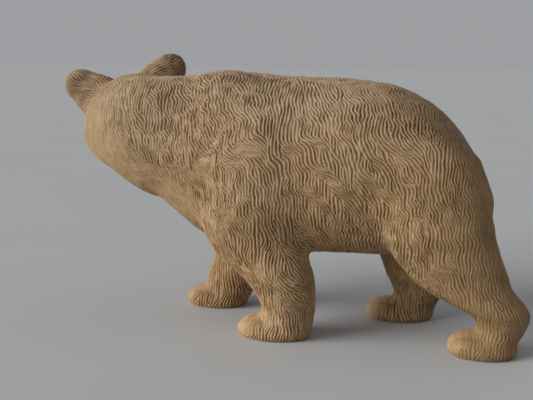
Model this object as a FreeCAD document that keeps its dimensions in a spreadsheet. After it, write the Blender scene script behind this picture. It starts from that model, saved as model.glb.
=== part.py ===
"""Carved wooden bear, walking, with its head turned to its right.

The figure is carved from a glued-up lime blank: three upright planks side by side, a head block
glued across the neck, two glued ears, glass eyes in drilled sockets and hidden beech dowels.
Millimetres, +Z up. The bear walks along -X and its own left side faces -Y. The origin is on the
surface it stands on, below the centre of its bounding box.
"""
import FreeCAD, Part
import math
import os
import Sketcher
from FreeCAD import Placement, Rotation, Vector

# Driving dimensions: alias, value in millimetres or degrees, meaning.
SIZES = [
    ("trunk_length", 209, "rump to the glue face at the neck"),
    ("back_height", 158, "surface to the middle of the back"),
    ("trunk_width", 96, "flank to flank at the belly"),
    ("rump_x", 91, "rear end of the trunk, from the middle of the four paws"),
    ("centre_plank", 24, "thickness of the middle plank"),
    ("side_plank", 40, "thickness of each side plank"),
    ("paw_length", 45.5, "heel to toe"),
    ("paw_width", 33, "across one paw"),
    ("limb_girth", 1, "front-to-back thickness of every limb, as a factor"),
    ("paw_height", 13, "surface to the top of the foot"),
    ("track", 58, "middle of the left paws to middle of the right paws"),
    ("head_x", -148.5, "middle of the skull along the walk"),
    ("head_y", 18, "middle of the skull, to the bear's right of the middle plane"),
    ("head_z", 129, "middle of the skull above the surface"),
    ("head_yaw", 75, "turn of the head to the bear's right"),
    ("head_pitch", 8, "nose below level"),
    ("head_roll", 10, "lean of the head towards its own left"),
    ("skull_length", 64, "nape to brow"),
    ("skull_width", 62, "cheek to cheek"),
    ("skull_height", 54, "crown to jaw"),
    ("muzzle_reach", 60, "middle of the skull to the tip of the nose"),
    ("ear_reach", 52, "middle of the skull to the tip of an ear"),
    ("ear_width", 26, "across the root of one ear"),
    ("ear_thickness", 13, "back of the ear to its front edge"),
    ("ear_seat", 25, "middle of the skull to the flat an ear is glued on"),
    ("ear_angle", 48, "ear from the top of the head, each side"),
    ("eye_diameter", 6.4, "glass eye"),
    ("dowel_diameter", 8, "beech dowel"),
    ("dowel_glue_gap", 0.05, "glue film round a dowel"),
    ("neck_dowel_length", 44, "half in the trunk and half in the head block"),
    ("cross_dowel_length", 72, "through the middle plank, blind in both side planks"),
    ("origin_x", -39.1, "middle of the bounding box, from the middle of the paws"),
    ("origin_y", 12.9, "middle of the bounding box, from the middle plane"),
]

# Trunk cross-sections, rump to neck: share of trunk_length, top and bottom as shares of
# back_height, width as a share of trunk_width.
TRUNK_SECTIONS = [
    (0.000, 0.555, 0.452, 0.150),
    (0.024, 0.627, 0.380, 0.380),
    (0.072, 0.746, 0.333, 0.640),
    (0.148, 0.866, 0.323, 0.850),
    (0.254, 0.954, 0.319, 0.965),
    (0.411, 0.993, 0.313, 1.000),
    (0.579, 0.999, 0.315, 0.970),
    (0.713, 1.011, 0.318, 0.930),
    (0.789, 1.024, 0.325, 0.900),
    (0.876, 1.005, 0.371, 0.820),
    (0.943, 0.996, 0.438, 0.760),
    (1.000, 0.999, 0.501, 0.710),
]

# Leg cross-sections, top to bottom: height as a share of back_height, then the front and rear
# edges in millimetres behind the middle of the paw, width as a share of paw_width, and how far
# the section's middle stands outside the paw's middle, in millimetres.
LEG_SECTIONS = {
    "left_foreleg": [
        (0.76, -40, 2, 0.60, -14),
        (0.66, -49, 13, 1.04, -6),
        (0.50, -48, 16, 1.16, -2),
        (0.36, -40, 19, 1.10, 0),
        (0.235, -20, 25, 1.04, 0),
        (0.145, -7.5, 26, 0.98, 0),
        (0.08, -5, 25, 0.90, 0),
        (0.02, -8, 23, 0.90, 0),
    ],
    "right_foreleg": [
        (0.76, 16, 57, 0.60, -14),
        (0.66, 3, 69, 1.04, -6),
        (0.50, 1, 68, 1.16, -2),
        (0.36, -3, 60, 1.10, 0),
        (0.235, -2, 47, 1.04, 0),
        (0.165, -4, 38, 0.98, 0),
        (0.09, -7, 28, 0.90, 0),
        (0.02, -9, 21, 0.88, 0),
    ],
    "left_hind_leg": [
        (0.76, -58, -30, 0.60, -16),
        (0.66, -66, -9, 1.10, -6),
        (0.54, -65, 1.5, 1.24, -2),
        (0.41, -58, 6.5, 1.18, 0),
        (0.31, -47, 12, 1.08, 0),
        (0.225, -31, 18, 1.02, 0),
        (0.145, -6, 26, 0.94, 0),
        (0.09, 0, 23, 0.69, 0),
        (0.02, 1, 19, 0.54, 0),
    ],
    "right_hind_leg": [
        (0.76, -10, 18, 0.60, -16),
        (0.66, -14, 36, 1.10, -6),
        (0.54, -16, 44, 1.24, -2),
        (0.41, -18, 46, 1.18, 0),
        (0.31, -15, 42, 1.08, 0),
        (0.225, -11, 36, 1.02, 0),
        (0.145, -5, 30, 0.94, 0),
        (0.08, 0, 24.5, 0.74, 0),
        (0.02, -2, 22, 0.72, 0),
    ],
}

# Middle of each paw along the walk, its side (-1 is the bear's left), how far it is set outside
# half the track, in millimetres, and its length as a share of paw_length.
PAWS = {
    "left_foreleg": (-37.5, -1, 0, 1.00),
    "right_foreleg": (-92.5, 1, 0, 0.93),
    "left_hind_leg": (89.0, -1, 2.5, 0.89),
    "right_hind_leg": (33.5, 1, 0, 0.95),
}

# Neck cross-sections in front of the glue face: x, y, z of the middle, turn to the right in
# degrees, height and width in millimetres.
NECK_SECTIONS = [
    (-130, 2.5, 120, 14, 76, 67),
    (-141, 9.0, 124, 34, 69, 64),
    (-148, 18.0, 127, 58, 60, 60),
]

# Ellipsoids that fill out the head: radii along, across and up, then the middle. The jowl's is
# in the paws' frame, the others' are in the head's own frame, the cheek's on the left.
JOWL = ((28, 26, 27), Vector(-149, 13, 119))
BROW = ((20, 21, 16), Vector(15, 0, 8))
CHEEK = ((23, 18.5, 21), Vector(6, 17, -7))

# Which way each side of the head lies along the head's own Y.
HEAD_SIDES = {"left": 1, "right": -1}

# Muzzle cross-sections in the head's own frame: share of muzzle_reach, middle height in
# millimetres, height and width as shares of skull_height.
MUZZLE_SECTIONS = [
    (0.22, -3.0, 0.86, 0.90),
    (0.48, -6.5, 0.62, 0.66),
    (0.72, -8.0, 0.48, 0.50),
    (0.92, -8.5, 0.40, 0.42),
    (1.00, -8.0, 0.24, 0.28),
]

EYE_PLACE = Vector(30.5, 12.6, 6.0)  # of the left eye, in the head's own frame
EYE_STEM = 5.0  # drilled behind each glass eye for its wire
PAW_MIDDLE = 3.0  # height of the widest part of a paw above the surface
EAR_ROOT = 5.0  # the widest part of an ear above the flat it is glued on
EAR_CUP = 6.0  # how far forward the hollow of the ear is set
EAR_RIM = 4.0  # wood left round the hollow of the ear
CROSS_DOWELS = [(-72, 122), (-8, 127), (52, 112), (-30, 79)]  # x, z of each
NECK_DOWELS = [(0, 135), (0, 100)]  # y, z of each
DOWEL_CHAMFER = 0.8
HOLE_END_GAP = 1.0  # at each end of a dowel
REACH = 400  # longer than the whole figure, for cutting boxes

doc = FreeCAD.newDocument("carved_bear")


def make_sheet():
    sheet = doc.addObject("Spreadsheet::Sheet", "Sizes")
    for row, (alias, value, meaning) in enumerate(SIZES, 1):
        sheet.set(f"A{row}", meaning)
        sheet.set(f"B{row}", str(value))
        sheet.setAlias(f"B{row}", alias)
    doc.recompute()
    return sheet


def bind(obj, **expressions):
    """Binds properties to expressions; x, y and z stand for the placement's base."""
    short = {"x": "Placement.Base.x", "y": "Placement.Base.y", "z": "Placement.Base.z"}
    for name, text in expressions.items():
        obj.setExpression(short.get(name, name), text)
    return obj


def ellipse(name, place, major, minor, **base):
    """A closed ellipse; radii, and any of x, y and z given, are expressions."""
    ring = doc.addObject("Part::Ellipse", name)
    ring.Placement = place
    return bind(ring, MajorRadius=major, MinorRadius=minor, **base)


def loft(name, rings):
    solid = doc.addObject("Part::Loft", name)
    solid.Sections = rings
    solid.Solid = True
    solid.Ruled = False
    return solid


def ellipsoid(name, along, across, height, place=Placement()):
    """Radii along local X, Y and Z, each an expression."""
    ball = doc.addObject("Part::Ellipsoid", name)
    ball.Placement = place
    return bind(ball, Radius1=height, Radius2=along, Radius3=across)


def filler(name, radii_and_middle, frame):
    """A fixed ellipsoid whose middle is given in a frame."""
    radii, middle = radii_and_middle
    return ellipsoid(name, *map(str, radii), frame * Placement(middle, Rotation()))


def box(name, place, length, width, height, **base):
    """A block; its sizes, and any of x, y and z given, are expressions."""
    block = doc.addObject("Part::Box", name)
    block.Placement = place
    return bind(block, Length=length, Width=width, Height=height, **base)


def fuse(name, shapes):
    joined = doc.addObject("Part::MultiFuse", name)
    joined.Shapes = shapes
    return joined


def common(name, first, second):
    shared = doc.addObject("Part::Common", name)
    shared.Base = first
    shared.Tool = second
    return shared


def cut(name, first, second):
    rest = doc.addObject("Part::Cut", name)
    rest.Base = first
    rest.Tool = second
    return rest


def upright(middle=Vector(), turn=0):
    """Placement of an ellipse standing across the walk, its long axis upright, turned right."""
    across = Vector(math.sin(math.radians(turn)), math.cos(math.radians(turn)), 0)
    up = Vector(0, 0, 1)
    return Placement(middle, Rotation(up, across, up.cross(across), "XYZ"))


def trunk_ring(name, share, top, bottom, width):
    """A cross-section of the trunk: shares of its length, height and width."""
    return ellipse(
        name,
        upright(),
        f"Sizes.back_height * {(top - bottom) / 2:.4f}",
        f"Sizes.trunk_width * {width / 2:.4f}",
        x=f"Sizes.rump_x - Sizes.trunk_length * {share}",
        z=f"Sizes.back_height * {(top + bottom) / 2:.4f}",
    )


def make_trunk():
    return loft("trunk_form", [trunk_ring(f"trunk_section_{n}", *s) for n, s in enumerate(TRUNK_SECTIONS)])


def make_leg(name):
    """A leg and its paw, as one form cut flat at the surface it stands on."""
    paw_x, side, spread, length = PAWS[name]
    rings = []
    for n, (height, front, rear, width, outward) in enumerate(LEG_SECTIONS[name]):
        rings.append(
            ellipse(
                f"{name}_section_{n}",
                Placement(Vector(paw_x + (front + rear) / 2, 0, 0), Rotation()),
                f"Sizes.limb_girth * {(rear - front) / 2}",
                f"Sizes.paw_width * {width / 2:.4f}",
                y=f"{side} * (Sizes.track / 2 + {spread + outward})",
                z=f"Sizes.back_height * {height}",
            )
        )
    limb = loft(f"{name}_limb", rings)
    paw = ellipsoid(
        f"{name}_paw",
        f"Sizes.paw_length / 2 * {length}",
        "Sizes.paw_width / 2",
        f"Sizes.paw_height - {PAW_MIDDLE}",
        Placement(Vector(paw_x, 0, PAW_MIDDLE), Rotation()),
    )
    bind(paw, y=f"{side} * (Sizes.track / 2 + {spread})")
    return fuse(f"{name}_form", [limb, paw])


def make_neck():
    """The front of the neck, from the glue face into the back of the skull."""
    rings = [trunk_ring("neck_section_0", *TRUNK_SECTIONS[-1])]
    for n, (x, y, z, turn, height, width) in enumerate(NECK_SECTIONS, 1):
        place = upright(Vector(x, y, z), turn)
        rings.append(ellipse(f"neck_section_{n}", place, str(height / 2), str(width / 2)))
    return [loft("neck_form", rings), filler("jowl_form", JOWL, Placement())]


def head_frame(sheet):
    """Placement of the head's own frame: X to the nose, Y to the head's left, Z to its crown."""
    yaw, pitch, roll = (math.radians(float(sheet.get(f"head_{a}"))) for a in ("yaw", "pitch", "roll"))
    level = Vector(-math.cos(yaw), math.sin(yaw), 0)
    nose = level * math.cos(pitch) - Vector(0, 0, math.sin(pitch))
    left = Vector(0, 0, 1).cross(level)
    crown = nose.cross(left)
    leaned_left = left * math.cos(roll) - crown * math.sin(roll)
    leaned_crown = crown * math.cos(roll) + left * math.sin(roll)
    middle = Vector(*(float(sheet.get(f"head_{a}")) for a in "xyz"))
    return Placement(middle, Rotation(nose, leaned_left, leaned_crown, "XYZ"))


def make_head_forms(frame):
    skull_radii = [f"Sizes.skull_{size} / 2" for size in ("length", "width", "height")]
    forms = [ellipsoid("skull_form", *skull_radii, frame), filler("brow_form", BROW, frame)]
    rings = []
    facing = Rotation(Vector(0, 1, 0), Vector(0, 0, 1), Vector(1, 0, 0), "XYZ")
    for n, (share, middle, height, width) in enumerate(MUZZLE_SECTIONS):
        reach = float(doc.Sizes.get("muzzle_reach")) * share
        rings.append(
            ellipse(
                f"muzzle_section_{n}",
                frame * Placement(Vector(reach, 0, middle), facing),
                f"Sizes.skull_height * {width / 2:.4f}",
                f"Sizes.skull_height * {height / 2:.4f}",
            )
        )
    forms.append(loft("muzzle_form", rings))
    radii, left_cheek = CHEEK
    for tag, side in HEAD_SIDES.items():
        middle = Vector(left_cheek.x, side * left_cheek.y, left_cheek.z)
        forms.append(filler(f"{tag}_cheek_form", (radii, middle), frame))
    return forms


def make_ear(tag, side, frame):
    """One ear: a blunt cone flattened front to back, with a hollow front and a flat root."""
    angle, seat, reach = (float(doc.Sizes.get(f"ear_{a}")) for a in ("angle", "seat", "reach"))
    middle = seat + EAR_ROOT
    lean = frame * Placement(Vector(), Rotation(Vector(1, 0, 0), -angle * side))
    cone = ellipsoid(
        f"{tag}_ear_cone",
        "Sizes.ear_thickness / 2",
        "Sizes.ear_width / 2",
        f"Sizes.ear_reach - Sizes.ear_seat - {EAR_ROOT}",
        lean * Placement(Vector(0, 0, middle), Rotation()),
    )
    hollow = ellipsoid(
        f"{tag}_ear_hollow",
        "Sizes.ear_thickness / 2 - 1",
        f"Sizes.ear_width / 2 - {EAR_RIM}",
        str((reach - seat) / 2 - EAR_RIM),
        lean * Placement(Vector(EAR_CUP, 0, (seat + reach) / 2), Rotation()),
    )
    corner = lean * Placement(Vector(-REACH / 2, -REACH / 2, seat), Rotation())
    above_seat = box(f"{tag}_ear_side", corner, f"{REACH}", f"{REACH}", f"{REACH}")
    return common(f"{tag}_ear_blank", cone, above_seat), hollow


def make_dowel(name, x, y, z, axis, length):
    """A chamfered dowel: a sketched circle padded both ways from its middle."""
    body = doc.addObject("PartDesign::Body", f"{name}_turned")
    sketch = body.newObject("Sketcher::SketchObject", f"{name}_circle")
    plane = next(f for f in body.Origin.OriginFeatures if f.Role == "XY_Plane")
    sketch.AttachmentSupport = [(plane, "")]
    sketch.MapMode = "FlatFace"
    diameter = float(doc.Sizes.get("dowel_diameter"))
    sketch.addGeometry(Part.Circle(Vector(), Vector(0, 0, 1), diameter / 2), False)
    sketch.addConstraint(Sketcher.Constraint("Coincident", 0, 3, -1, 1))
    sketch.addConstraint(Sketcher.Constraint("Diameter", 0, diameter))
    sketch.renameConstraint(1, "Diameter")
    sketch.setExpression("Constraints.Diameter", "Sizes.dowel_diameter")
    pad = body.newObject("PartDesign::Pad", f"{name}_pad")
    pad.Profile = sketch
    pad.Midplane = True
    pad.setExpression("Length", length)
    doc.recompute()
    chamfer = body.newObject("PartDesign::Chamfer", f"{name}_chamfer")
    edges = [f"Edge{n}" for n, e in enumerate(pad.Shape.Edges, 1) if isinstance(e.Curve, Part.Circle)]
    chamfer.Base = (pad, edges)
    chamfer.Size = DOWEL_CHAMFER
    body.Tip = chamfer
    body.Placement = Placement(Vector(x, y, z), Rotation(Vector(0, 0, 1), axis))
    return body


def make_dowel_hole(name, x, y, z, axis, length):
    hole = doc.addObject("Part::Cylinder", name)
    radius = "Sizes.dowel_diameter / 2 + Sizes.dowel_glue_gap"
    bind(hole, Radius=radius, Height=f"{length} + {2 * HOLE_END_GAP}")
    half_length = float(doc.Sizes.get(length.removeprefix("Sizes."))) / 2
    start = Vector(x, y, z) - axis * (half_length + HOLE_END_GAP)
    hole.Placement = Placement(start, Rotation(Vector(0, 0, 1), axis))
    return hole


def make_eye(tag, side, frame):
    """A glass bead on a short stem, and the socket drilled for both."""
    place = frame * Placement(Vector(EYE_PLACE.x, side * EYE_PLACE.y, EYE_PLACE.z), Rotation())
    inward = frame.Rotation.multVec(Vector(-0.75, -side * 0.6, -0.28).normalize())
    bead = doc.addObject("Part::Sphere", f"{tag}_eye_bead")
    bind(bead, Radius="Sizes.eye_diameter / 2")
    bead.Placement = place
    stem = doc.addObject("Part::Cylinder", f"{tag}_eye_stem")
    bind(stem, Radius="Sizes.eye_diameter / 8", Height=f"Sizes.eye_diameter / 2 + {EYE_STEM}")
    stem.Placement = Placement(place.Base, Rotation(Vector(0, 0, 1), inward))
    eye = fuse(f"{tag}_eye_glass", [bead, stem])
    socket_bead = doc.addObject("Part::Sphere", f"{tag}_socket_bead")
    bind(socket_bead, Radius="Sizes.eye_diameter / 2 + Sizes.dowel_glue_gap")
    socket_bead.Placement = place
    socket_stem = doc.addObject("Part::Cylinder", f"{tag}_socket_stem")
    bind(
        socket_stem,
        Radius="Sizes.eye_diameter / 8 + Sizes.dowel_glue_gap",
        Height=f"Sizes.eye_diameter / 2 + {EYE_STEM} + 1",
    )
    socket_stem.Placement = stem.Placement
    return eye, [socket_bead, socket_stem]


def finish(label, source):
    """Moves a finished sub-part from the paws' frame to the row frame and labels it."""
    piece = doc.addObject("Part::Compound", f"{label}_piece")
    piece.Links = [source]
    bind(piece, x="-Sizes.origin_x", y="-Sizes.origin_y")
    piece.Label = label
    return piece


def build():
    sheet = make_sheet()
    frame = head_frame(sheet)
    ahead = Vector(-1, 0, 0)
    across = Vector(0, 1, 0)

    trunk = make_trunk()
    legs = {name: make_leg(name) for name in PAWS}
    neck_x = "Sizes.rump_x - Sizes.trunk_length"

    neck_at = float(sheet.get("rump_x")) - float(sheet.get("trunk_length"))
    dowel_places = {}
    for tag, (y, z) in zip(("upper", "lower"), NECK_DOWELS):
        dowel_places[f"neck_dowel_{tag}"] = (neck_at, y, z, ahead, "Sizes.neck_dowel_length")
    for tag, (x, z) in zip(("shoulder", "back", "hip", "belly"), CROSS_DOWELS):
        dowel_places[f"cross_dowel_{tag}"] = (x, 0, z, across, "Sizes.cross_dowel_length")
    dowels = {name: make_dowel(name, *place) for name, place in dowel_places.items()}
    drilled = {name: make_dowel_hole(f"{name}_hole", *place) for name, place in dowel_places.items()}
    holes = fuse("dowel_holes", list(drilled.values()))
    neck_holes = [hole for name, hole in drilled.items() if name.startswith("neck")]

    pieces = []
    half = "Sizes.centre_plank / 2"
    everywhere = f"{REACH}"
    centre_box = box(
        "centre_box", Placement(), "Sizes.trunk_length", "Sizes.centre_plank", everywhere,
        x=neck_x, y=f"-{half}",
    )
    centre = cut("centre_drilled", common("centre_blank", trunk, centre_box), holes)
    pieces.append(finish("centre_plank", centre))
    for tag, near in (("left", f"-{half} - Sizes.side_plank"), ("right", half)):
        form = fuse(f"{tag}_side_form", [trunk, legs[f"{tag}_foreleg"], legs[f"{tag}_hind_leg"]])
        side_box = box(
            f"{tag}_box", Placement(), everywhere, "Sizes.side_plank", everywhere,
            x=f"-{REACH} / 2", y=near,
        )
        plank = cut(f"{tag}_drilled", common(f"{tag}_blank", form, side_box), holes)
        pieces.append(finish(f"{tag}_side_plank", plank))

    ears = {tag: make_ear(tag, side, frame) for tag, side in HEAD_SIDES.items()}
    eyes = {tag: make_eye(tag, side, frame) for tag, side in HEAD_SIDES.items()}
    head = fuse("head_form", make_neck() + make_head_forms(frame))
    front_box = box(
        "front_box", Placement(), everywhere, everywhere, everywhere,
        x=f"{neck_x} - {REACH}", y=f"-{REACH} / 2",
    )
    blank = common("head_blank", head, front_box)
    sockets = [socket for _, parts in eyes.values() for socket in parts]
    removed = fuse("head_removed", [ears["left"][0], ears["right"][0], *sockets, *neck_holes])
    pieces.append(finish("head_block", cut("head_drilled", blank, removed)))
    for tag, (ear_blank, hollow) in ears.items():
        pieces.append(finish(f"{tag}_ear", cut(f"{tag}_ear_carved", ear_blank, hollow)))
        pieces.append(finish(f"{tag}_eye", eyes[tag][0]))
    for name, dowel in dowels.items():
        pieces.append(finish(name, dowel))
    doc.recompute()
    return pieces


def write(pieces):
    failed = [o.Name for o in doc.Objects if "Invalid" in o.State or "Error" in o.State]
    if failed:
        raise RuntimeError(f"these objects failed: {failed}")
    os.makedirs("parts", exist_ok=True)
    for piece in pieces:
        shape = piece.Shape
        if shape.isNull() or not shape.isValid() or not shape.Solids:
            raise RuntimeError(f"{piece.Label} has no valid solid")
        shape.exportStep(f"parts/{piece.Label}.step")
        span = shape.BoundBox
        print(
            f"{piece.Label}: {len(shape.Solids)} solid, {shape.Volume / 1000:.1f} cm3,",
            f"x {span.XMin:.1f}..{span.XMax:.1f}",
            f"y {span.YMin:.1f}..{span.YMax:.1f}",
            f"z {span.ZMin:.1f}..{span.ZMax:.1f}",
        )


write(build())
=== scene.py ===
"""Looks of the carved wooden bear: gouged fur, face, raw limewood, glass eyes, soft studio light."""
import math

import bmesh
import bpy
import numpy as np
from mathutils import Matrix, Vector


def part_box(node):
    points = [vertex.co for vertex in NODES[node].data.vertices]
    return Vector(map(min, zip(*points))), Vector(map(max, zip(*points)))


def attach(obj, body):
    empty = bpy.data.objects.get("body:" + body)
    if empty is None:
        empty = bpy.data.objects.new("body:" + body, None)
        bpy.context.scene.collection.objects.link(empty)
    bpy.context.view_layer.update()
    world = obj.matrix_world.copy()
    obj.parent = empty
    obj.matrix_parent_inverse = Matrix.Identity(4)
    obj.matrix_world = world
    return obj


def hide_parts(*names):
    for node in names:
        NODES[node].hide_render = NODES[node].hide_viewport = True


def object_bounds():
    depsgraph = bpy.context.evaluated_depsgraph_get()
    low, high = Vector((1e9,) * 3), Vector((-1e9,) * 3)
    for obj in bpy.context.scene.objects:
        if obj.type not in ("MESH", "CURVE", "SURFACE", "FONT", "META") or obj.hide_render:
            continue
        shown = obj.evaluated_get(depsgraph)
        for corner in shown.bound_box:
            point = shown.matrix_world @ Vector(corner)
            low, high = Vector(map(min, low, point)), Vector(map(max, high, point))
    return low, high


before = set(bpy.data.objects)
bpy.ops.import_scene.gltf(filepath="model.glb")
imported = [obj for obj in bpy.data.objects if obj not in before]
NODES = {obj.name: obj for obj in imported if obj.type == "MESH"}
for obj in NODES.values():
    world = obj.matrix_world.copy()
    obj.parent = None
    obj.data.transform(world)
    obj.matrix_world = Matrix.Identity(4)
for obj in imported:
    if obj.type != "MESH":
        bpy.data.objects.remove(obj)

import openvdb
from mathutils import Vector

CAD_BOUNDS = [list(corner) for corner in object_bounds()]
RNG = np.random.default_rng(451)

# Lengths are millimetres in the row frame. Only CAD_BOUNDS is in metres.
VOXEL = 0.85
BAND = 14.0  # how far from the surface distances are kept
GRID_MARGIN = 8  # room around the CAD box
SEAM_CLOSING = 1.0  # swelling and shrinking by this much closes the glue joints
CORNER_FILL = 4.5  # a blur that only fills inner corners
EDGE_BLUR = 1.3  # a blur that rounds the sawn edges
EDGE_SWELL = 0.15  # what that blur takes off, put back
SCULPT_BLUR = 0.7


def box_mm(node):
    low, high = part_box(node)
    return np.array(low) * 1000, np.array(high) * 1000


CENTRE_LOW, CENTRE_HIGH = box_mm("centre_plank")
RUMP_TO_PAWS = 91.0  # from the back end of the middle plank forward to the middle of the paws
# The middle of the four paws, on the surface: what the sculpting points are measured from.
PAWS_MIDDLE = np.array([CENTRE_HIGH[0] - RUMP_TO_PAWS, (CENTRE_LOW[1] + CENTRE_HIGH[1]) / 2, 0.0])
NECK_X = CENTRE_LOW[0]
SEAM_LEFT, SEAM_RIGHT = CENTRE_LOW[1], CENTRE_HIGH[1]


def at(x, y, z):
    """A point given from the middle of the paws, in the row frame."""
    return PAWS_MIDDLE + np.array([x, y, z], float)


def unit(v):
    v = np.asarray(v, float)
    return v / np.maximum(np.linalg.norm(v, axis=-1, keepdims=True), 1e-9)


class HeadFrame:
    """The head's own axes: rows are nose, left and crown."""

    def __init__(self, middle, yaw, pitch, roll):
        yaw, pitch, roll = (math.radians(a) for a in (yaw, pitch, roll))
        level = np.array([-math.cos(yaw), math.sin(yaw), 0.0])
        nose = level * math.cos(pitch) - np.array([0, 0, math.sin(pitch)])
        left = np.cross([0, 0, 1.0], level)
        crown = np.cross(nose, left)
        self.middle = middle
        self.axes = np.array([
            nose,
            left * math.cos(roll) - crown * math.sin(roll),
            crown * math.cos(roll) + left * math.sin(roll),
        ])

    def point(self, x, y, z):
        return self.middle + np.array([x, y, z], float) @ self.axes

    def local(self, points):
        return (points - self.middle) @ self.axes.T


HEAD = HeadFrame(at(-148.5, 18, 129), yaw=75, pitch=8, roll=10)


# The solid form, as a signed distance grid.

def mesh_arrays(obj):
    mesh = obj.data
    mesh.calc_loop_triangles()
    points = np.zeros(len(mesh.vertices) * 3, np.float32)
    mesh.vertices.foreach_get("co", points)
    corners = np.zeros(len(mesh.loop_triangles) * 3, np.int32)
    mesh.loop_triangles.foreach_get("vertices", corners)
    return points.reshape(-1, 3) * 1000, corners.reshape(-1, 3).astype(np.uint32)


class Grid:
    """A dense signed distance field around the whole bear, negative inside."""

    def __init__(self):
        low, high = (np.array(c) * 1000 for c in CAD_BOUNDS)
        self.first = np.floor((low - GRID_MARGIN) / VOXEL).astype(int)
        self.shape = tuple(np.ceil((high + GRID_MARGIN) / VOXEL).astype(int) - self.first)
        self.transform = openvdb.createLinearTransform(voxelSize=VOXEL)
        self.axes = [(self.first[a] + np.arange(self.shape[a])) * VOXEL for a in range(3)]
        self.field = np.full(self.shape, BAND, np.float32)

    def distance_to(self, points, triangles=None, quads=None):
        tree = openvdb.FloatGrid.createLevelSetFromPolygons(
            points, triangles=triangles, quads=quads, transform=self.transform, halfWidth=BAND / VOXEL
        )
        dense = np.full(self.shape, BAND, np.float32)
        tree.copyToArray(dense, ijk=tuple(int(i) for i in self.first))
        return dense

    def surface(self, level=0.0):
        """Points and quads of the field's surface."""
        tree = openvdb.FloatGrid(BAND)
        tree.transform = self.transform
        tree.copyFromArray(self.field, ijk=tuple(int(i) for i in self.first))
        points, quads = tree.convertToQuads(isovalue=level)
        return np.array(points, np.float32), np.array(quads, np.uint32)

    def window(self, middle, reach):
        spans, coords = [], []
        for a in range(3):
            i0 = int(np.clip((middle[a] - reach) / VOXEL - self.first[a], 0, self.shape[a]))
            i1 = int(np.clip((middle[a] + reach) / VOXEL - self.first[a] + 2, 0, self.shape[a]))
            spans.append(slice(i0, i1))
            coords.append(self.axes[a][i0:i1])
        return tuple(spans), np.stack(np.meshgrid(*coords, indexing="ij"), -1)

    def blend(self, spans, distance, k, remove):
        """Smoothly adds or removes a shape within k of the surface."""
        old = self.field[spans]
        other = -distance if remove else distance
        sign = -1.0 if remove else 1.0
        h = np.clip(0.5 + 0.5 * sign * (other - old) / k, 0, 1)
        self.field[spans] = other * (1 - h) + old * h - sign * k * h * (1 - h)

    def blob(self, middle, radii, k, axes=np.eye(3), remove=False):
        """An ellipsoid; rows of axes are the directions of its radii."""
        radii = np.asarray(radii, float)
        spans, points = self.window(middle, radii.max() + 2 * k + 2)
        local = (points - middle) @ np.asarray(axes).T
        k0 = np.linalg.norm(local / radii, axis=-1)
        k1 = np.linalg.norm(local / radii**2, axis=-1)
        self.blend(spans, (k0 * (k0 - 1) / np.maximum(k1, 1e-6)).astype(np.float32), k, remove)

    def limb(self, start, end, r_start, r_end, k, remove=False):
        """A tapered rod between two points."""
        start, end = np.asarray(start, float), np.asarray(end, float)
        span = end - start
        reach = np.linalg.norm(span) / 2 + max(r_start, r_end) + 2 * k + 2
        spans, points = self.window((start + end) / 2, reach)
        along = np.clip(((points - start) @ span) / (span @ span), 0, 1)
        gap = np.linalg.norm(points - start - along[..., None] * span, axis=-1)
        self.blend(spans, (gap - r_start - (r_end - r_start) * along).astype(np.float32), k, remove)

    def blurred(self, width):
        """The field under a Gaussian of that standard deviation."""
        sigma = width / VOXEL
        taps = np.arange(-int(3 * sigma), int(3 * sigma) + 1)
        weights = np.exp(-taps**2 / (2 * sigma**2))
        weights /= weights.sum()
        out = self.field
        for axis in range(3):
            edge = len(taps) // 2
            pads = [(0, 0)] * 3
            pads[axis] = (edge, edge)
            padded = np.pad(out, pads, mode="edge")
            total = np.zeros(self.shape, np.float32)
            for n, weight in enumerate(weights):
                part = [slice(None)] * 3
                part[axis] = slice(n, n + self.shape[axis])
                total += np.float32(weight) * padded[tuple(part)]
            out = total
        return out


def join_blank(grid):
    """One solid from the wooden nodes, with the glue joints closed up."""
    for name, node in NODES.items():
        if not name.endswith("_eye"):
            points, triangles = mesh_arrays(node)
            np.minimum(grid.field, grid.distance_to(points, triangles=triangles), out=grid.field)
    points, quads = grid.surface(SEAM_CLOSING)
    grid.field = grid.distance_to(points, quads=quads) + np.float32(SEAM_CLOSING)
    grid.field = np.minimum(grid.field, grid.blurred(CORNER_FILL))
    grid.field = grid.blurred(EDGE_BLUR) - np.float32(EDGE_SWELL)


EAR_TILT = math.radians(48)  # from the crown out to the side
EAR_CUT = 33.0  # the ear's glue face, from the middle of the head
EAR_REACH = 19.5  # how far an ear's wood goes from its axis
EARS = {
    tag: unit(HEAD.point(0, side * math.sin(EAR_TILT), math.cos(EAR_TILT)) - HEAD.middle)
    for tag, side in (("left", 1), ("right", -1))
}

# Middle of each paw on the surface, and its length against the longest one's.
PAWS = {
    "left_fore": (-37.5, -29.0, 1.00),
    "right_fore": (-92.5, 29.0, 0.93),
    "left_hind": (89.0, -31.5, 0.89),
    "right_hind": (33.5, 29.0, 0.95),
}


def sculpt_trunk(grid):
    """Shoulder and hip muscles, throat and tail."""
    for side in (-1, 1):
        grid.blob(at(-55 - 6 * side, 34 * side, 98), (24, 14, 36), 12)
        grid.blob(at(44 - 13 * side, 34 * side, 92), (26, 13, 32), 12)
    grid.blob(at(-116, -20, 104), (14, 11, 13), 7)
    grid.limb(at(77, 0, 106), at(86.5, 0, 84), 6.0, 3.4, 5)


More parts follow.
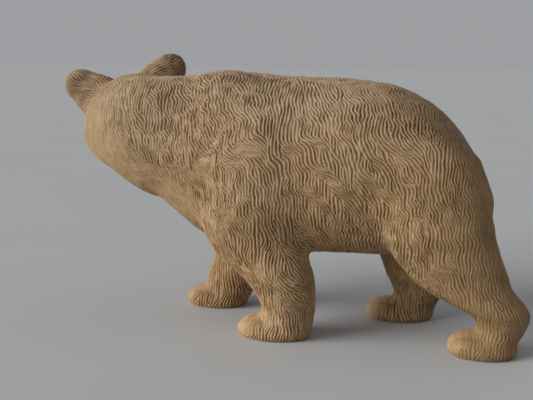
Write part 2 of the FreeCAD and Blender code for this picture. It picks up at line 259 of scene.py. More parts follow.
def sculpt_paws(grid):
    """The back of each paw, four toes with the outer ones set back, and three grooves between them."""
    for x, y, length in PAWS.values():
        grid.blob(at(x - 9 * length, y, 5.6), (12.5 * length, 14, 6.0), 3)
        for lateral in (-10.0, -3.4, 3.4, 10.0):
            curl = 1 - abs(lateral) / 34
            grid.blob(at(x - 15.8 * length * curl, y + lateral, 5.0), (7.0, 4.4, 5.4), 2.0)
        for lateral in (-6.8, 0.0, 6.8):
            start = at(x - 25 * length, y + lateral, 4)
            end = at(x - 12 * length, y + lateral * 0.8, 13.5)
            grid.limb(start, end, 0.8, 0.4, 1.8, remove=True)


def sculpt_face(grid):
    """Brows, eye sockets with two lids, ears, chin, nose pad with nostrils, and the mouth line."""
    face = HEAD.axes
    for side in (-1, 1):
        grid.blob(HEAD.point(24, side * 13, 13.5), (7, 7.5, 4.5), 5, face)
        grid.blob(HEAD.point(32.0, side * 13.2, 6.0), (4.6, 4.6, 3.8), 3, face, remove=True)
        grid.blob(HEAD.point(28.5, side * 12.8, 9.6), (4.0, 4.2, 2.0), 1.6, face)
        grid.blob(HEAD.point(28.5, side * 13.0, 2.4), (4.0, 3.6, 1.6), 1.6, face)
    for axis in EARS.values():
        across = unit(np.cross(axis, face[0]))
        ear_axes = np.array([axis, across, np.cross(axis, across)])
        grid.blob(HEAD.middle + 27 * axis, (12, 14.0, 8.0), 5, ear_axes)
        grid.blob(HEAD.middle + 43.5 * axis, (7, 9.0, 5.5), 3, ear_axes)
    grid.blob(HEAD.point(52, 0, -19), (9, 7.5, 4.5), 4, face)
    grid.blob(HEAD.point(57.5, 0, -3.2), (5.0, 8.2, 5.4), 1.4, face)
    for side in (-1, 1):
        grid.blob(HEAD.point(62.0, side * 4.0, -3.8), (3.8, 2.3, 2.0), 0.6, face, remove=True)
        nostril_wing = HEAD.point(61.5, side * 6.2, -5.4), HEAD.point(59, side * 8.0, -4.2)
        grid.limb(*nostril_wing, 0.9, 0.5, 0.8, remove=True)
        lip = [(61.5, 0, -13), (57, 7.4, -14.5), (48, 11.8, -15.2), (38, 15.2, -12)]
        for (x1, y1, z1), (x2, y2, z2) in zip(lip, lip[1:]):
            start, end = HEAD.point(x1, side * y1, z1), HEAD.point(x2, side * y2, z2)
            grid.limb(start, end, 1.6, 1.6, 0.8, remove=True)
    grid.limb(HEAD.point(62.5, 0, -7), HEAD.point(61, 0, -14), 0.9, 0.9, 0.8, remove=True)


# Fine surface: one Catmull-Clark step, remembering where each new point came from.

def mean_at(index, values, count):
    total = np.stack([np.bincount(index, values[:, a], count) for a in range(3)], 1)
    return total / np.maximum(np.bincount(index, minlength=count), 1)[:, None]


class Fine:
    """The surface with every quad split in four."""

    def __init__(self, points, quads):
        self.old = points
        n = len(points)
        starts, ends = quads.ravel(), np.roll(quads, -1, 1).ravel()
        keys = np.minimum(starts, ends).astype(np.int64) * n + np.maximum(starts, ends)
        unique, inverse = np.unique(keys, return_inverse=True)
        self.edges = np.stack([unique // n, unique % n], 1)
        self.quads = quads
        face_of_side = np.repeat(np.arange(len(quads)), 4)
        faces = points[quads].mean(1)
        middles = points[self.edges].mean(1)
        sides = mean_at(inverse, faces[face_of_side], len(unique))
        edge_points = (middles + sides) / 2
        around = mean_at(quads.ravel(), faces[face_of_side], n)
        ends_of = self.edges.ravel()
        spokes = mean_at(ends_of, np.repeat(middles, 2, 0), n)
        valence = np.bincount(ends_of, minlength=n)[:, None]
        corners = (around + 2 * spokes + (valence - 3) * points) / np.maximum(valence, 3)
        self.points = np.concatenate([corners, edge_points, faces])
        e = (n + inverse).reshape(-1, 4)
        f = n + len(unique) + np.arange(len(quads))
        self.fine_quads = np.concatenate(
            [np.stack([quads[:, k], e[:, k], f, e[:, k - 1]], 1) for k in range(4)]
        )

    def spread(self, values):
        """Values at the old points, averaged onto every new point."""
        return np.concatenate([values, values[self.edges].mean(1), values[self.quads].mean(1)])

    def spread_phase(self, phase, wave):
        """Grooves' phase carried onto the new points along their wave vectors."""
        n = len(phase)
        new_edge, new_face = self.points[n:n + len(self.edges)], self.points[-len(self.quads):]
        parts = [np.exp(1j * (phase + np.einsum("ij,ij->i", wave, self.points[:n] - self.old)))]
        for index, places in ((self.edges, new_edge), (self.quads, new_face)):
            steps = np.einsum("ikj,ikj->ik", wave[index], places[:, None] - self.old[index])
            parts.append(np.exp(1j * (phase[index] + steps)).sum(1))
        return np.angle(np.concatenate(parts))


def normals_of(points, quads):
    first, second, third, fourth = (points[quads[:, k]] for k in range(4))
    area = np.repeat(np.cross(third - first, fourth - second), 4, 0)
    total = np.stack([np.bincount(quads.ravel(), area[:, a], len(points)) for a in range(3)], 1)
    return unit(total)


def waves(points, count, length, seed):
    """Smooth noise, mostly within -1..1: a sum of count plane waves about that long."""
    rng = np.random.default_rng(seed)
    total = np.zeros(len(points))
    for _ in range(count):
        direction = unit(rng.normal(size=3))
        wave = direction * 2 * math.pi / (length * rng.uniform(0.75, 1.35))
        total += np.sin(points @ wave + rng.uniform(0, 2 * math.pi))
    return total / math.sqrt(count / 2) / 1.6


def ramp(x, low, high):
    t = np.clip((x - low) / (high - low), 0, 1)
    return t * t * (3 - 2 * t)


def near(points, middle, radii):
    """1 at middle, falling to 0 at the radii."""
    gap = np.linalg.norm((points - middle) / np.asarray(radii, float), axis=1)
    return 1 - ramp(gap, 0.55, 1.0)


def head_share(points):
    """1 at the middle of the head, falling to 0 at the neck."""
    return 1 - ramp(np.linalg.norm(HEAD.local(points), axis=1), 34, 62)


def ear_share(points):
    """How much each point belongs to an ear, and the direction from its root to its tip."""
    share, direction = np.zeros(len(points)), np.zeros((len(points), 3))
    for axis in EARS.values():
        out = (points - HEAD.middle) @ axis
        off = np.linalg.norm(points - HEAD.middle - out[:, None] * axis, axis=1)
        own = ramp(out, 24, 32) * (1 - ramp(off, 16, 20))
        share = np.maximum(share, own)
        direction += own[:, None] * axis
    return share, direction


PITCH = 2.1  # between grooves on the flank
START_PITCH = 2.05  # of the upright grooves that the fur starts from
FUR_DEPTH = 0.78  # of a groove on the flank
BEND_LENGTH = 15.0  # height of one S-bend in a stroke
FLOW_REACH = 50  # how far the flow's directions are evened out
PHASE_REACH = 120  # how far grooves grow on from point to point
START_SCATTER = 1.2 * math.pi  # random part of the starting phase


def fur_flow(points, normals):
    """The way the fur lies, as tangent vectors."""
    p = points - PAWS_MIDDLE
    x, y, z = p.T
    # Backward lean on the trunk, then the spread to either side of the spine and the belly's middle line.
    back = 0.12 + 0.38 * ramp(z, 74, 104) + 0.3 * ramp(z, 140, 158)
    back *= ramp(-x, -125, -30) * 0.4 + 0.6
    back += 1.1 * ramp(-normals[:, 2], 0.15, 0.6) * ramp(-x, 70, 100)
    on_legs = 1 - ramp(z, 44, 60)
    inward = ramp(-normals[:, 2], 0.2, 0.7) * np.clip((y - 29.5 * np.sign(y) * on_legs) / 6, -1, 1)
    out = ramp(normals[:, 2], 0.2, 0.8) * np.clip(y / 6, -1, 1) * (1 - on_legs) - inward
    # Each leg has a lean of its own, more at the back edge of a fore leg and forward over the toes.
    for name, (px, py, _) in PAWS.items():
        fore, left = "fore" in name, "left" in name
        beside = 1 - ramp(np.abs(y - py), 18, 26)
        along = x - px
        if fore:
            rear = 26 if left else 50
            low = (1 - ramp(z, 62, 84)) * beside * ramp(along, -45, -30) * (1 - ramp(along, rear, rear + 12))
            rear_edge = ramp(along, 4, 22) * ramp(z, 8, 20)
            lean = 0.32 * ramp(z, 22, 34) + 1.0 * rear_edge
            lean = lean if left else -0.25 * ramp(z, 16, 30) + 0.5 * rear_edge
        else:
            low = (1 - ramp(z, 48, 70)) * beside * (1 - ramp(np.abs(along), 34, 48))
            lean = (0.45 if left else -0.10) * ramp(z, 24, 36) + 0.12
        lean = lean - 0.5 * (1 - ramp(z, 8, 15)) * (1 - ramp(along, -12, -2))
        back = back * (1 - low) + lean * low
    flow = np.stack([back, out, -np.ones_like(back)], 1)
    # Swept back from the nose over the face, and from root to tip on the ears.
    local = HEAD.local(points)
    facial = ramp(local[:, 0], 2, 22) * (1 - ramp(np.linalg.norm(local, axis=1), 75, 90)) * ramp(-x, 112, 124)
    swept = -HEAD.axes[0] + 0.25 * unit(local - np.outer(local @ [1, 0, 0], [1, 0, 0])) @ HEAD.axes
    flow = flow * (1 - facial[:, None]) + swept * facial[:, None]
    share, direction = ear_share(points)
    flow = flow * (1 - share[:, None]) + direction * share[:, None]
    flow -= np.einsum("ij,ij->i", flow, normals)[:, None] * normals
    return unit(flow)


def fur_pitch(points):
    """Distance between neighbouring grooves: finer on the head, ears, legs and rump."""
    ears, _ = ear_share(points)
    low = 1 - ramp(points[:, 2], 30, 60)
    rump = ramp(points[:, 0] - PAWS_MIDDLE[0], 45, 80) * (1 - low)
    return PITCH - 0.1 * head_share(points) - 0.15 * ears - 0.15 * low - 0.25 * rump


def toe_share(points):
    """1 on the toes, falling to 0 behind them."""
    share = np.zeros(len(points))
    for x, y, _ in PAWS.values():
        share = np.maximum(share, near(points, at(x - 17, y, 8), (17, 22, 16)))
    return share


def fur_depth(points):
    """How deep the grooves are cut, before the strokes vary it."""
    p = points - PAWS_MIDDLE
    local = HEAD.local(points)
    depth = FUR_DEPTH - 0.30 * head_share(points)
    throat = near(points, at(-144, 2, 90), (62, 54, 38))
    chest = near(points, at(-100, -8, 82), (34, 46, 32))
    depth *= 1 - np.maximum(0.5 * throat, 0.55 * chest)
    muzzle = ramp(local[:, 0], 26, 46) * (1 - ramp(np.abs(local[:, 1]), 24, 34))
    depth *= 1 - 0.75 * muzzle
    nose = 1 - ramp(np.linalg.norm((local - [58.5, 0, -3.5]) / [7, 9, 7], axis=1), 0.8, 1.15)
    depth *= 1 - nose
    for side in (-1, 1):
        lids = 1 - ramp(np.linalg.norm(local - [31, side * 13, 6], axis=1), 5, 9)
        depth *= 1 - lids
    ears, _ = ear_share(points)
    depth *= 1 + 0.35 * ears
    depth *= 1 - 0.75 * toe_share(points)
    depth *= 1 - 0.42 * ramp(p[:, 0], 45, 90)
    hind_x, hind_y, _ = PAWS["left_hind"]
    ankle = near(points, at(hind_x - 17, hind_y, 17), (11, 15, 8))
    depth *= 1 - 0.9 * ankle
    return depth * ramp(p[:, 2], 0.2, 1.5)


def neighbours(points, quads):
    n = len(points)
    starts, ends = quads.ravel(), np.roll(quads, -1, 1).ravel()
    keys = np.unique(np.minimum(starts, ends).astype(np.int64) * n + np.maximum(starts, ends))
    return keys // n, keys % n


def settle_phase(points, first, a, b, wave, rounds):
    """Grooves that run on from point to point: a phase for each, following the wave vectors.

    a and b are the ends of every edge. The phase starts near first, and each round averages neighbours.
    """
    n = len(points)
    step = np.einsum("ij,ij->i", (wave[a] + wave[b]) / 2, points[b] - points[a])
    turn = np.exp(1j * step)
    state = np.exp(1j * (first + RNG.uniform(0, START_SCATTER, n)))
    for _ in range(rounds):
        to_b, to_a = state[a] * turn, state[b] * np.conj(turn)
        total = np.bincount(b, to_b.real, n) + 1j * np.bincount(b, to_b.imag, n)
        total += np.bincount(a, to_a.real, n) + 1j * np.bincount(a, to_a.imag, n)
        total += 0.6 * state
        state = total / np.maximum(np.abs(total), 1e-9)
    return np.angle(state)


def smoothed(values, a, b, rounds):
    """Vectors averaged with their neighbours, rounds times."""
    n = len(values)
    count = (np.bincount(a, minlength=n) + np.bincount(b, minlength=n) + 1)[:, None]
    for _ in range(rounds):
        total = [np.bincount(a, values[b, k], n) + np.bincount(b, values[a, k], n) for k in range(3)]
        values = (values + np.stack(total, 1)) / count
    return values


def streaks(points, a, b, flow, rounds, seed):
    """Noise drawn out along the fur, so that each stroke differs from its neighbours."""
    rng = np.random.default_rng(seed)
    n = len(points)
    way = unit(points[b] - points[a])
    along = np.einsum("ij,ij->i", unit(flow[a] + flow[b]), way) ** 8 + 0.004
    weight = np.bincount(a, along, n) + np.bincount(b, along, n)
    value = rng.normal(size=n)
    for _ in range(rounds):  # each round draws it out a little further along the fur
        total = np.bincount(a, along * value[b], n) + np.bincount(b, along * value[a], n)
        value = 0.5 * value + 0.5 * total / np.maximum(weight, 1e-9)
    return np.clip(value / (value.std() * 2), -1, 1)


def stroke_sway(points):
    """How far the strokes swing to either side, as a slope: S-bends, broken up by smaller waves."""
    bend = 2 * math.pi * points[:, 2] / BEND_LENGTH + 2.4 * math.pi * waves(points, 6, 44, seed=3)
    swing = 0.7 + 0.5 * waves(points, 5, 40, seed=4)
    sway = 0.42 * np.cos(bend) * swing + 0.28 * waves(points, 8, 30, seed=6)
    sway += 0.36 * waves(points, 10, 9, seed=13)
    return sway * (1 - 0.4 * head_share(points))


def carve(grid):
    """The whole bear's surface with its fur cut in: points, quads and how low each point lies in a groove."""
    points, quads = grid.surface()
    points = points.astype(float)
    quads = quads[:, ::-1].astype(np.int64)
    normals = normals_of(points, quads)
    inside = np.einsum("ij,ij->i", points - points.mean(0), normals).mean()
    if inside < 0:
        quads = quads[:, ::-1]
        normals = -normals
    a, b = neighbours(points, quads)
    flow = smoothed(fur_flow(points, normals), a, b, int(FLOW_REACH / VOXEL))
    flow = unit(flow - np.einsum("ij,ij->i", flow, normals)[:, None] * normals)
    across = np.cross(normals, flow)
    sway = stroke_sway(points)
    pitch = fur_pitch(points) * (1 + 0.18 * waves(points, 8, 15, seed=5))
    wave = (across + sway[:, None] * flow) * (2 * math.pi / pitch)[:, None]
    upright = -np.sign(normals[:, 1]) * points[:, 0] * 2 * math.pi / START_PITCH
    phase = settle_phase(points, upright, a, b, wave, int(PHASE_REACH / VOXEL))
    bent = unit(flow - sway[:, None] * across)
    stroke = streaks(points, a, b, bent, 26, 7)
    tuft = streaks(points, a, b, bent, 8, 8)

    fine = Fine(points, quads)
    phase = fine.spread_phase(phase, wave)
    stroke, tuft = fine.spread(stroke), fine.spread(tuft)
    places = fine.points
    normals = normals_of(places, fine.fine_quads)
    rise = (np.abs(phase) / math.pi) ** 1.05
    full = fur_depth(places)
    depth = np.maximum(full * (1.0 + 0.65 * stroke + 0.10 * waves(places, 8, 17, seed=9)), 0)
    furred = full / FUR_DEPTH
    lumps = 0.35 * waves(places, 8, 26, seed=11) + 0.16 * waves(places, 8, 9, seed=12)
    lumps += 0.3 * toe_share(places) * waves(places, 12, 4, seed=14)
    push = depth * (rise - 0.6) + lumps * (0.3 + 0.7 * furred) + 0.14 * tuft * furred
    placed = places + push[:, None] * normals
    placed[:, 2] = np.maximum(placed[:, 2], 0.0)
    hollow = (1 - rise) * np.clip(depth / FUR_DEPTH, 0, 1.3) + 0.10 * tuft * furred
    return placed, fine.fine_quads, hollow


def new_mesh(name, points, faces, values):
    """A mesh object from millimetre points and faces of one size, with a groove value for each point."""
    mesh = bpy.data.meshes.new(name)
    mesh.vertices.add(len(points))
    mesh.vertices.foreach_set("co", (points / 1000).astype(np.float32).ravel())
    size = faces.shape[1]
    mesh.loops.add(faces.size)
    mesh.loops.foreach_set("vertex_index", faces.astype(np.int32).ravel())
    mesh.polygons.add(len(faces))
    mesh.polygons.foreach_set("loop_start", np.arange(0, faces.size, size, dtype=np.int32))
    mesh.polygons.foreach_set("use_smooth", np.ones(len(faces), bool))
    mesh.update(calc_edges=True)
    mesh.attributes.new("hollow", "FLOAT", "POINT").data.foreach_set("value", values.astype(np.float32))
    obj = bpy.data.objects.new(name, mesh)
    bpy.context.scene.collection.objects.link(obj)
    return obj


def cap_of(points, segments, outward):
    """Triangles that close the loops made by these point pairs, facing outward."""
    used, local = np.unique(segments, return_inverse=True)
    local = local.reshape(segments.shape)
    bm = bmesh.new()
    verts = [bm.verts.new(points[i]) for i in used]
    for a, b in local:
        if a != b and bm.edges.get((verts[a], verts[b])) is None:
            bm.edges.new((verts[a], verts[b]))
    bm.verts.index_update()
    bmesh.ops.triangle_fill(bm, edges=bm.edges[:], use_beauty=True, normal=Vector(outward))
    triangles = np.array([[v.index for v in f.verts] for f in bm.faces if len(f.verts) == 3], int)
    bm.free()
    if not len(triangles):
        return np.zeros((0, 3), int)
    triangles = used[triangles]
    corner = points[triangles]
    facing = np.cross(corner[:, 1] - corner[:, 0], corner[:, 2] - corner[:, 0]) @ np.asarray(outward, float)
    triangles[facing < 0] = triangles[facing < 0][:, ::-1]
    return triangles


class Part:
    """A closed triangle mesh: outer skin, flat glue faces, and how hollow each point is."""

    def __init__(self, points, skin, caps, hollow):
        self.points, self.skin, self.caps, self.hollow = points, skin, caps, hollow

    def halves(self, level, outward):
        """Cuts where level is 0: the part where it is positive, then the rest. outward points to positive.

        A small patch that the cut leaves on its own goes back to the side it was cut from.
        """
        level = np.where(np.abs(level) < 1e-6, 1e-6, level)
        sheets = [self.split(self.skin, level), self.split(self.caps, level)]
        points = [self.points] + [new for _, _, new, _ in sheets]
        hollow = [self.hollow] + [values for _, _, _, values in sheets]
        base = np.cumsum([0] + [len(p) for p in points])
        faces = []
        for side in (0, 1):
            for n, sheet in enumerate(sheets):
                triangles = sheet[side].copy()
                fresh = triangles < 0
                triangles[fresh] = -triangles[fresh] - 1 + base[n + 1]
                faces.append(triangles)
        points, faces, hollow = weld(np.concatenate(points), faces, np.concatenate(hollow))
        for own, other in ((0, 2), (2, 0)):
            stays = largest_patch(faces[own:own + 2], len(points))
            for n in (0, 1):
                faces[other + n] = np.concatenate([faces[other + n], faces[own + n][~stays[n]]])
                faces[own + n] = faces[own + n][stays[n]]
        results = []
        for own, facing in ((0, -1), (2, 1)):
            places, (skin, caps), values = weld(points, faces[own:own + 2], hollow)
            part = Part(places, skin, caps, values)
            lid = cap_of(part.points, part.rim(), np.asarray(outward) * facing)
            part.caps = np.concatenate([part.caps, lid])
            results.append(part)
        return results

    def split(self, triangles, level):
        """Clips triangles both ways. New points are numbered -1, -2 and so on."""
        d = level[triangles]
        over = d > 0
        count = over.sum(1)
        sides = [[triangles[count == 3]], [triangles[count == 0]]]
        new_points, new_values, keys = [], [], {}

        def crossing(i, j):
            i, j = np.minimum(i, j), np.maximum(i, j)
            names = []
            for p, q in zip(i.tolist(), j.tolist()):
                if (p, q) not in keys:
                    keys[(p, q)] = len(keys)
                    t = level[p] / (level[p] - level[q])
                    new_points.append(self.points[p] * (1 - t) + self.points[q] * t)
                    new_values.append(self.hollow[p] * (1 - t) + self.hollow[q] * t)
                names.append(-keys[(p, q)] - 1)
            return np.array(names, int)

        for lone_side, lone_count in ((0, 1), (1, 2)):
            chosen = triangles[count == lone_count]
            if not len(chosen):
                continue
            alone = over[count == lone_count] if lone_side == 0 else ~over[count == lone_count]
            turn = alone.argmax(1)
            rows = np.arange(len(chosen))
            a, b, c = chosen[rows, turn], chosen[rows, (turn + 1) % 3], chosen[rows, (turn + 2) % 3]
            ab, ac = crossing(a, b), crossing(a, c)
            sides[lone_side].append(np.stack([a, ab, ac], 1))
            sides[1 - lone_side].append(np.stack([ab, b, c], 1))
            sides[1 - lone_side].append(np.stack([ab, c, ac], 1))
        new_points = np.array(new_points).reshape(-1, 3)
        return np.concatenate(sides[0]), np.concatenate(sides[1]), new_points, np.array(new_values)

    def rim(self):
        """Edges with a face on one side only, as point pairs."""
        faces = np.concatenate([self.skin, self.caps])
        starts, ends = faces.ravel(), np.roll(faces, -1, 1).ravel()
        keys = np.minimum(starts, ends) * len(self.points) + np.maximum(starts, ends)
        unique, counts = np.unique(keys, return_counts=True)
        lone = unique[counts % 2 == 1]
        return np.stack([lone // len(self.points), lone % len(self.points)], 1)

    def build(self, name):
        obj = new_mesh(name, self.points, np.concatenate([self.skin, self.caps]), self.hollow)
        smooth = np.concatenate([np.ones(len(self.skin), bool), np.zeros(len(self.caps), bool)])
        obj.data.polygons.foreach_set("use_smooth", smooth)
        obj.data.update()
        return obj


def largest_patch(faces, count):
    """Which triangles of each array are in the largest connected patch of them all."""
    triangles = np.concatenate(faces)
    order = np.argsort(triangles.ravel(), kind="stable")
    used, starts = np.unique(triangles.ravel()[order], return_index=True)
    label = np.arange(count)
    while True:
        lowest = label[triangles].min(1)
        joined = label.copy()
        joined[used] = np.minimum.reduceat(lowest[order // 3], starts)
        joined = joined[joined]
        if np.array_equal(joined, label):
            break
        label = joined
    owner = label[triangles[:, 0]]
    return np.split(owner == np.bincount(owner).argmax(), [len(faces[0])])


def weld(points, faces, hollow):
    """Drops unused points and joins those in the same place."""
    used, index = np.unique(np.concatenate([f.ravel() for f in faces]), return_inverse=True)
    places = points[used]
    _, first, joined = np.unique(np.round(places, 5), axis=0, return_index=True, return_inverse=True)
    index = joined.ravel()[index.ravel()]
    out, start = [], 0
    for f in faces:
        g = index[start:start + f.size].reshape(-1, 3)
        start += f.size
        whole = (g[:, 0] != g[:, 1]) & (g[:, 1] != g[:, 2]) & (g[:, 0] != g[:, 2])
        out.append(g[whole])
    return places[first], out, hollow[used][first]


def ear_level(points, axis):
    """Positive in the ear along that axis, beyond its glue face."""
    out = (points - HEAD.middle) @ axis
    off = np.linalg.norm(points - HEAD.middle - out[:, None] * axis, axis=1)
    return np.minimum(out - EAR_CUT, EAR_REACH - off)


def glued_pieces(points, quads, hollow):
    """The carved surface cut along the glue joints into closed pieces, by the node that each stands for."""
    triangles = np.concatenate([quads[:, [0, 1, 2]], quads[:, [0, 2, 3]]])
    whole = Part(points, triangles, np.zeros((0, 3), int), hollow)
    trunk, head = whole.halves(points[:, 0] - NECK_X, (1, 0, 0))
    right, rest = trunk.halves(trunk.points[:, 1] - SEAM_RIGHT, (0, 1, 0))
    centre, left = rest.halves(rest.points[:, 1] - SEAM_LEFT, (0, 1, 0))
    pieces = {"left_side_plank": left, "centre_plank": centre, "right_side_plank": right}
    for tag, axis in EARS.items():
        ear, head = head.halves(ear_level(head.points, axis), axis)
        pieces[f"{tag}_ear"] = ear
    pieces["head_block"] = head
    return pieces


# Materials.

def node_material(name):
    material = bpy.data.materials.new(name)
    material.use_nodes = True
    tree = material.node_tree
    shader = tree.nodes["Principled BSDF"]
    return material, tree, shader


def node(tree, kind, inputs=None, **settings):
    made = tree.nodes.new(kind)
    for key, value in settings.items():
        setattr(made, key, value)
    for key, value in (inputs or {}).items():
        if isinstance(value, bpy.types.NodeSocket):
            tree.links.new(value, made.inputs[key])
        else:
            made.inputs[key].default_value = value
    return made


def noise(tree, vector, scale, detail, roughness=0.5):
    inputs = {"Vector": vector, "Scale": scale, "Detail": detail, "Roughness": roughness}
    return node(tree, "ShaderNodeTexNoise", inputs)


def ramp_node(tree, factor, stops):
    made = node(tree, "ShaderNodeValToRGB", {"Fac": factor})
    elements = made.color_ramp.elements
    while len(elements) < len(stops):
        elements.new(0.5)
    for element, (place, colour) in zip(elements, stops):
        element.position = place
        element.color = (*colour, 1)
    return made.outputs["Color"]


def mix(tree, factor, a, b, blend="MIX"):
    """A colour mix. The node repeats its socket names for each kind of value, so they are picked by type."""
    made = node(tree, "ShaderNodeMix", data_type="RGBA", blend_type=blend)
    for name, kind, value in (("Factor", "VALUE", factor), ("A", "RGBA", a), ("B", "RGBA", b)):
        target = next(s for s in made.inputs if s.name == name and s.type == kind)
        if isinstance(value, bpy.types.NodeSocket):
            tree.links.new(value, target)
        else:
            target.default_value = value if kind == "VALUE" else (*value, 1)
    return next(s for s in made.outputs if s.type == "RGBA")


def limewood():
    """Raw wood: grain, patches and pores, a painted highlight on the ridges and painted shade in the grooves,
    and painted light and shade over the body.
    """
    material, tree, shader = node_material("pale_limewood")
    place = node(tree, "ShaderNodeNewGeometry").outputs["Position"]
    hollow = node(tree, "ShaderNodeAttribute", attribute_name="hollow").outputs["Fac"]
    along = node(tree, "ShaderNodeMapping", {"Vector": place, "Scale": (9.0, 60.0, 60.0)})
    fine = node(tree, "ShaderNodeMapping", {"Vector": place, "Scale": (120.0, 900.0, 900.0)})
    rings = noise(tree, along.outputs["Vector"], 1.0, 4.0, 0.55)
    pores = noise(tree, fine.outputs["Vector"], 1.0, 3.0, 0.6)
    patches = noise(tree, place, 22.0, 3.0, 0.5)
    heart = ramp_node(tree, rings.outputs["Fac"], [
        (0.30, (0.33, 0.213, 0.109)), (0.50, (0.39, 0.262, 0.142)), (0.72, (0.445, 0.312, 0.181)),
    ])
    stain = ramp_node(tree, patches.outputs["Fac"], [
        (0.35, (0.365, 0.226, 0.110)), (0.65, (0.415, 0.302, 0.181)),
    ])
    warm = mix(tree, 0.35, heart, stain)
    speck = ramp_node(tree, pores.outputs["Fac"], [(0.35, (0.80, 0.78, 0.75)), (0.60, (1.0, 1.0, 1.0))])
    grained = mix(tree, 0.6, warm, speck, "MULTIPLY")
    # Painted highlight on the groove crests and painted shade down in the grooves, set by how low each point
    # lies in a groove.
    shade = ramp_node(tree, hollow, [
        (0.04, (1.30, 1.34, 1.44)), (0.20, (1.0, 0.98, 0.95)),
        (0.60, (0.83, 0.77, 0.67)), (1.0, (0.44, 0.35, 0.24)),
    ])

    # Painted light up and along the body, set against the photo: a greyer, cooler painted skylight on the
    # back, and painted shade on the hindquarters and head.
    parts = node(tree, "ShaderNodeSeparateXYZ", {"Vector": place}).outputs
    upper = node(tree, "ShaderNodeMapRange", {"Value": parts["Z"], "From Min": 0.085, "From Max": 0.15})
    # Painted skylight: cooler and greyer higher up, slightly warmer low down.
    painted_skylight = ramp_node(tree, upper.outputs["Result"], [(0.0, (1.02, 1.0, 0.96)), (1.0, (0.94, 0.98, 1.10))])
    length = node(tree, "ShaderNodeMapRange", {"Value": parts["X"], "From Min": -0.15, "From Max": 0.15})
    # Painted shade: darker towards the head and much darker over the hindquarters.
    painted_shade_ends = ramp_node(tree, length.outputs["Result"], [
        (0.0, (0.86, 0.84, 0.77)), (0.28, (0.90, 0.88, 0.83)), (0.45, (1.0, 1.0, 1.0)),
        (0.66, (1.0, 1.0, 1.0)), (0.92, (0.70, 0.66, 0.58)),
    ])
    carved = mix(tree, 1.0, grained, shade, "MULTIPLY")
    # The painted skylight and the painted shade along the body, together.
    painted_light_tones = mix(tree, 1.0, painted_skylight, painted_shade_ends, "MULTIPLY")
    colour = mix(tree, 1.0, carved, painted_light_tones, "MULTIPLY")
    tree.links.new(colour, shader.inputs["Base Color"])
    rough = node(tree, "ShaderNodeMapRange", {"Value": pores.outputs["Fac"], "To Min": 0.55, "To Max": 0.78})
    tree.links.new(rough.outputs["Result"], shader.inputs["Roughness"])
    relief = {"Height": pores.outputs["Fac"], "Strength": 0.25, "Distance": 0.00015}
    bump = node(tree, "ShaderNodeBump", relief)
    tree.links.new(bump.outputs["Normal"], shader.inputs["Normal"])
    shader.inputs["Specular IOR Level"].default_value = 0.35
    return material


def eye_glass():
    material, tree, shader = node_material("eye_glass")
    place = node(tree, "ShaderNodeNewGeometry").outputs["Position"]
    cloud = noise(tree, place, 400.0, 2.0)
    tint = ramp_node(tree, cloud.outputs["Fac"], [(0.3, (0.006, 0.004, 0.003)), (0.7, (0.022, 0.012, 0.007))])
    tree.links.new(tint, shader.inputs["Base Color"])
    shader.inputs["Roughness"].default_value = 0.06
    shader.inputs["Coat Weight"].default_value = 0.6
    return material


def beech():
    material, tree, shader = node_material("beech_dowel")
    place = node(tree, "ShaderNodeNewGeometry").outputs["Position"]
    fleck = noise(tree, place, 900.0, 3.0)
    tint = ramp_node(tree, fleck.outputs["Fac"], [(0.35, (0.42, 0.25, 0.13)), (0.65, (0.58, 0.40, 0.24))])
    tree.links.new(tint, shader.inputs["Base Color"])
    shader.inputs["Roughness"].default_value = 0.6
    return material


def floor_material():
    material, tree, shader = node_material("pale_floor")
    place = node(tree, "ShaderNodeNewGeometry").outputs["Position"]
    cloud = noise(tree, place, 6.0, 3.0)
    tint = ramp_node(tree, cloud.outputs["Fac"], [(0.3, (0.457, 0.462, 0.467)), (0.7, (0.482, 0.487, 0.492))])
    tree.links.new(tint, shader.inputs["Base Color"])
    shader.inputs["Roughness"].default_value = 0.7
    return material


def dress(obj, material):
    obj.data.materials.clear()
    obj.data.materials.append(material)


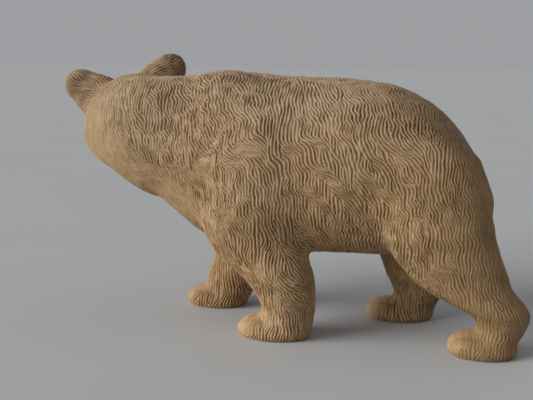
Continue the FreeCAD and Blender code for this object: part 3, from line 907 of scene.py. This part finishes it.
def make_bear():
    grid = Grid()
    join_blank(grid)
    sculpt_trunk(grid)
    sculpt_paws(grid)
    sculpt_face(grid)
    grid.field = grid.blurred(SCULPT_BLUR)
    wood = limewood()
    for node_name, part in glued_pieces(*carve(grid)).items():
        piece = part.build(f"carved_{node_name}")
        dress(piece, wood)
        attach(piece, "root")
        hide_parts(node_name)
    glass, dowel = eye_glass(), beech()
    for name, cad in NODES.items():
        if name.endswith("_eye"):
            dress(cad, glass)
        elif "dowel" in name:
            dress(cad, dowel)


def soft_sun(name, toward, strength, spread, colour):
    """A wide, even light from the direction toward, spread degrees across."""
    data = bpy.data.lights.new(name, "SUN")
    data.energy = strength
    data.angle = math.radians(spread)
    data.color = colour
    lamp = bpy.data.objects.new(name, data)
    lamp.rotation_euler = Vector(toward).to_track_quat("Z", "Y").to_euler()
    bpy.context.scene.collection.objects.link(lamp)


def make_stage():
    """A plain pale floor, even light from all round, and one soft light from the front left."""
    mesh = bpy.data.meshes.new("floor")
    half_m = 6
    corners = [(-half_m, -half_m, 0), (half_m, -half_m, 0), (half_m, half_m, 0), (-half_m, half_m, 0)]
    mesh.from_pydata(corners, [], [(0, 1, 2, 3)])
    floor = bpy.data.objects.new("floor", mesh)
    bpy.context.scene.collection.objects.link(floor)
    dress(floor, floor_material())
    world = bpy.data.worlds.new("studio")
    world.use_nodes = True
    background = world.node_tree.nodes["Background"]
    background.inputs["Color"].default_value = (0.80, 0.82, 0.85, 1)
    background.inputs["Strength"].default_value = 0.42
    bpy.context.scene.world = world
    soft_sun("key", (-0.80, -0.48, 0.37), 3.3, 40, (1.0, 0.985, 0.96))


def make_camera():
    """A 60 mm view from behind the bear's left flank, ten degrees down."""
    data = bpy.data.cameras.new("camera")
    data.sensor_width = 36
    data.lens = 60.5
    data.clip_start = 0.01
    camera = bpy.data.objects.new("camera", data)
    camera.location = at(96.9, -547.4, 178.8) / 1000
    camera.rotation_euler = (math.radians(80.06), 0, math.radians(15))
    bpy.context.scene.collection.objects.link(camera)
    bpy.context.scene.camera = camera
    bpy.context.scene.view_settings.view_transform = "Standard"


make_bear()
make_stage()
make_camera()
